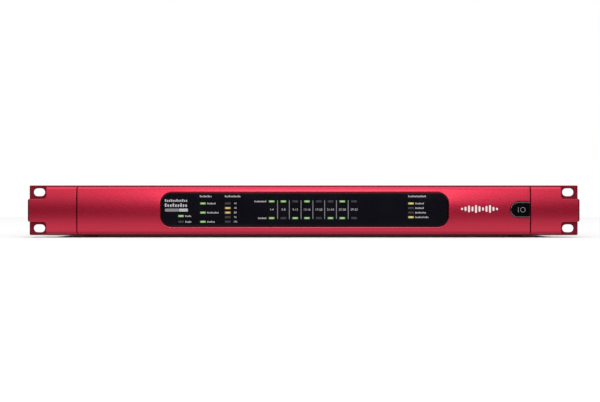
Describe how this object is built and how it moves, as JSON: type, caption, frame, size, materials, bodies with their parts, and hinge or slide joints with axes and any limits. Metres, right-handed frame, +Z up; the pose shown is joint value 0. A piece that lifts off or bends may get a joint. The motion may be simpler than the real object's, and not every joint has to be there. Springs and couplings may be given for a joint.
{
  "type": "audio interface",
  "caption": "One-unit rack-mount digital audio interface: bowed red front panel with end caps, black lamp window and power button, black steel chassis, connectors at the rear.",
  "frame": {"origin": "middle of the object's bounding box in X and Y, on the surface under its feet", "axes": "+X to the right of the front panel, +Y from the front towards the rear connectors, +Z up"},
  "size_m": [0.4826, 0.2744, 0.0457],
  "materials": {
    "red_anodised": "satin anodised, brushed along its length",
    "rack_red": "matt anodised, darker than the fascia",
    "zinc_steel": "zinc plated",
    "smoked_lens": "glossy smoked acrylic",
    "black_rubber": "matt",
    "lit_green": "lit from behind",
    "lit_yellow": "lit from behind",
    "lit_amber": "lit from behind",
    "unlit_pipe": "unlit diffuser",
    "black_plastic": "moulded, matt",
    "green_board": "solder mask",
    "led_body": "moulded",
    "gloss_black": "polished",
    "white_plastic": "moulded",
    "spring_steel": "drawn wire",
    "black_steel": "fine textured powder coat",
    "black_screw": "black oxide",
    "nickel": "nickel plated",
    "fuse_glass": "clear tube",
    "connector_metal": "black plated die casting",
    "gold_contact": "gold plated",
    "chip_plastic": "moulded",
    "bare_aluminium": "extruded",
    "blue_board": "solder mask",
    "supply_parts": "transformer tape and sleeves",
    "brass_standoff": "machined",
    "fan_plastic": "moulded",
    "grey_ribbon": "extruded",
    "lead_insulation": "extruded"
  },
  "bodies": {
    "chassis": {"front_fascia": "red_anodised", "left_end_cap": "red_anodised", "right_end_cap": "red_anodised", "rack_panel": "rack_red", "front_panel_screws": "zinc_steel", "display_lens": "smoked_lens", "lens_gasket": "black_rubber", "green_light_pipes": "lit_green", "yellow_light_pipes": "lit_yellow", "amber_light_pipes": "lit_amber", "unlit_light_pipes": "unlit_pipe", "light_pipe_holder": "black_plastic", "display_board": "green_board", "display_leds": "led_body", "power_button_spring": "spring_steel", "power_button_bezel": "black_plastic", "switch_bracket": "zinc_steel", "power_switch": "black_plastic", "chassis_tray": "black_steel", "top_cover": "black_steel", "outer_screws": "black_screw", "flush_screws": "black_screw", "rear_panel": "black_steel", "rubber_feet": "black_rubber", "mains_inlets": "black_plastic", "inlet_pins": "nickel", "network_jacks": "connector_metal", "network_inserts": "black_plastic", "network_contacts": "gold_contact", "bnc_jacks": "nickel", "bnc_insulators": "white_plastic", "bnc_contacts": "gold_contact", "bnc_nuts": "nickel", "bnc_housings": "black_plastic", "termination_switch": "zinc_steel", "link_socket_shells": "nickel", "link_socket_tongues": "black_plastic", "link_socket_jackscrews": "nickel", "ground_screw": "nickel", "main_board": "green_board", "board_components": "chip_plastic", "processor_heatsink": "bare_aluminium", "power_supply_boards": "blue_board", "power_supply_components": "supply_parts", "board_standoffs": "brass_standoff", "board_screws": "zinc_steel", "fan_frames": "black_plastic", "ribbon_cable": "grey_ribbon", "power_leads": "lead_insulation"},
    "power_button": {"power_button_cap": "gloss_black", "power_button_stem": "white_plastic"},
    "fuse_drawer_1": {"fuse_drawer_a": "black_plastic", "fuse_a": "fuse_glass"},
    "fuse_drawer_2": {"fuse_drawer_b": "black_plastic", "fuse_b": "fuse_glass"},
    "latch_1": {"network_latch_1": "nickel"},
    "latch_2": {"network_latch_2": "nickel"},
    "termination": {"termination_slider": "white_plastic"},
    "front_fan": {"fan_rotor_front": "fan_plastic"},
    "rear_fan": {"fan_rotor_rear": "fan_plastic"}
  },
  "joints": [
    {"name": "power_button_press", "type": "slide", "parent": "chassis", "child": "power_button", "axis": [0, 1, 0], "range_m": [0, 0.003], "stiffness_N_per_m": 800, "deforming": ["power_button_spring"]},
    {"name": "fuse_drawer_1_slide", "type": "slide", "parent": "chassis", "child": "fuse_drawer_1", "axis": [0, 1, 0], "range_m": [0, 0.015]},
    {"name": "fuse_drawer_2_slide", "type": "slide", "parent": "chassis", "child": "fuse_drawer_2", "axis": [0, 1, 0], "range_m": [0, 0.015]},
    {"name": "latch_1_push", "type": "slide", "parent": "chassis", "child": "latch_1", "axis": [0, -1, 0], "range_m": [0, 0.0015], "stiffness_N_per_m": 500},
    {"name": "latch_2_push", "type": "slide", "parent": "chassis", "child": "latch_2", "axis": [0, -1, 0], "range_m": [0, 0.0015], "stiffness_N_per_m": 500},
    {"name": "termination_slide", "type": "slide", "parent": "chassis", "child": "termination", "axis": [1, 0, 0], "range_m": [0, 0.003]},
    {"name": "front_fan_spin", "type": "hinge", "parent": "chassis", "child": "front_fan", "pos_m": [-0.2083, -0.0752, 0.02383], "axis": [1, 0, 0], "continuous": true},
    {"name": "rear_fan_spin", "type": "hinge", "parent": "chassis", "child": "rear_fan", "pos_m": [-0.2083, -0.0332, 0.02383], "axis": [1, 0, 0], "continuous": true}
  ]
}
